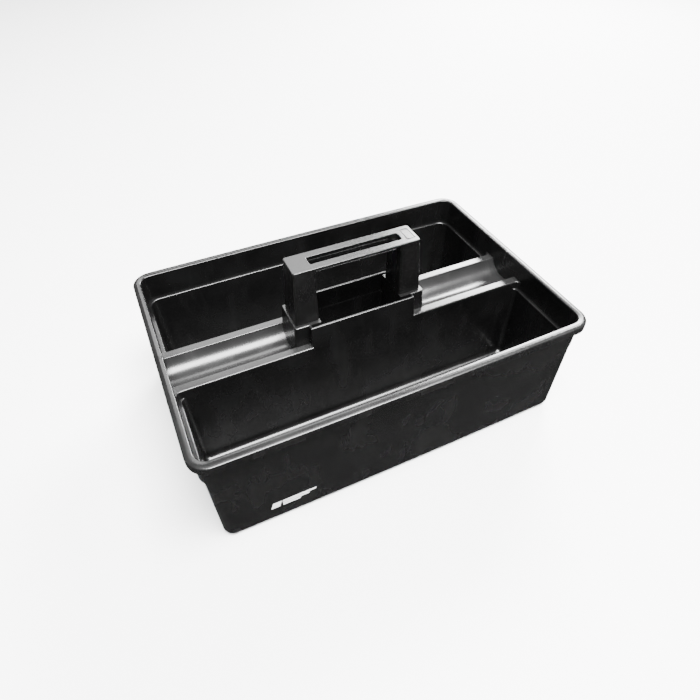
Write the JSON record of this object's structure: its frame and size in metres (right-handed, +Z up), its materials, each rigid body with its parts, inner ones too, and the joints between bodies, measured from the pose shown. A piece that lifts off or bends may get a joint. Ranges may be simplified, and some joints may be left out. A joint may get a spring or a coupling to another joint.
{
  "type": "tool storage caddy",
  "caption": "Open-topped rectangular tote tray in black plastic with a rolled rim, deep compartments beside a raised central divider with tool troughs, and a slotted carry handle.",
  "frame": {"origin": "under the middle of the tray, on the surface it stands on", "axes": "+X along the length to the right seen from the front wall, +Y from the front wall to the back wall, +Z up"},
  "size_m": [0.4, 0.272, 0.1926],
  "materials": {
    "tray_plastic": "satin black polypropylene, lightly scuffed",
    "trough_plastic": "smooth semi-gloss black polypropylene",
    "handle_plastic": "fine satin black polypropylene",
    "print_ink": "thin white pad print"
  },
  "bodies": {
    "root": {"rim_front": "tray_plastic", "wall_front": "tray_plastic", "rim_back": "tray_plastic", "wall_back": "tray_plastic", "rim_left": "tray_plastic", "wall_left": "tray_plastic", "rim_right": "tray_plastic", "wall_right": "tray_plastic", "floor_front": "tray_plastic", "divider_wall_front": "tray_plastic", "centre_panel_front": "tray_plastic", "floor_back": "tray_plastic", "divider_wall_back": "tray_plastic", "centre_panel_back": "tray_plastic", "trough_left": "trough_plastic", "socket_left": "tray_plastic", "handle_post_left": "handle_plastic", "trough_right": "trough_plastic", "socket_right": "tray_plastic", "handle_post_right": "handle_plastic", "well_floor": "tray_plastic", "handle_grip": "handle_plastic"}
  },
  "joints": []
}
